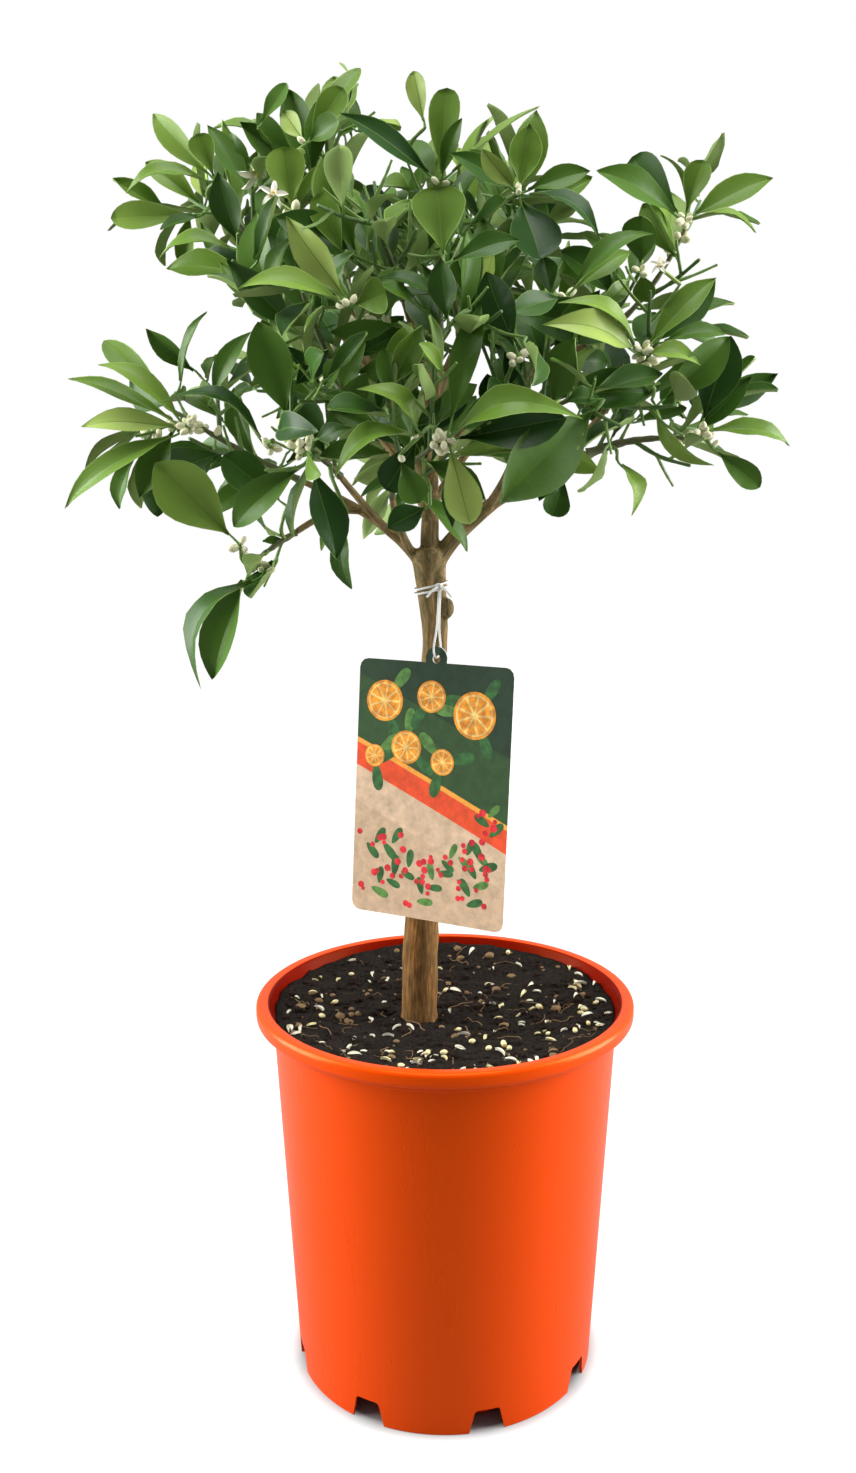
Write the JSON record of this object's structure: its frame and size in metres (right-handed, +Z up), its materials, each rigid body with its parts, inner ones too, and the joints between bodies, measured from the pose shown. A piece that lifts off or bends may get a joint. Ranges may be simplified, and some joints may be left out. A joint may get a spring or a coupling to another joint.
{
  "type": "potted kumquat tree",
  "caption": "Young kumquat tree with a leafy crown on a short trunk, in a tapered orange nursery pot, with a card label hung from a string.",
  "frame": {"origin": "centre of the flat underside of the pot", "axes": "+Z up along the pot's axis, +X to the right in the picture, +Y away from the picture's camera"},
  "size_m": [0.3697, 0.2787, 0.7111],
  "materials": {
    "pot": "glossy orange moulded plastic",
    "soil": "dark moist peat with bark fibre",
    "bark": "grey-brown bark with fine upright streaks",
    "foliage": "glossy dark green leaves with paler undersides, and cream blossom",
    "label": "printed glossy card",
    "string": "white twisted string"
  },
  "bodies": {
    "root": {"pot": "pot", "soil": "soil", "trunk": "bark", "bough_centre": "bark", "bough_right_low": "bark", "bough_left_low": "bark", "bough_back_low": "bark", "bough_left_droop": "bark", "bough_right_mid": "bark", "bough_right_top": "bark", "bough_left_top": "bark", "bough_crown_left": "bark", "bough_crown_right": "bark", "bough_front_left": "bark", "bough_left_inner": "bark", "bough_front_top": "bark", "bough_front_middle": "bark", "bough_front_low": "bark", "bough_front_right": "bark", "bough_back_left": "bark", "bough_back_right": "bark", "bough_back_top": "bark", "foliage_centre": "foliage", "foliage_right_low": "foliage", "foliage_left_low": "foliage", "foliage_back_low": "foliage", "foliage_left_droop": "foliage", "foliage_right_mid": "foliage", "foliage_right_top": "foliage", "foliage_left_top": "foliage", "foliage_crown_left": "foliage", "foliage_crown_right": "foliage", "foliage_front_left": "foliage", "foliage_left_inner": "foliage", "foliage_front_top": "foliage", "foliage_front_middle": "foliage", "foliage_front_low": "foliage", "foliage_front_right": "foliage", "foliage_back_left": "foliage", "foliage_back_right": "foliage", "foliage_back_top": "foliage", "label": "label", "label_string": "string"}
  },
  "joints": []
}
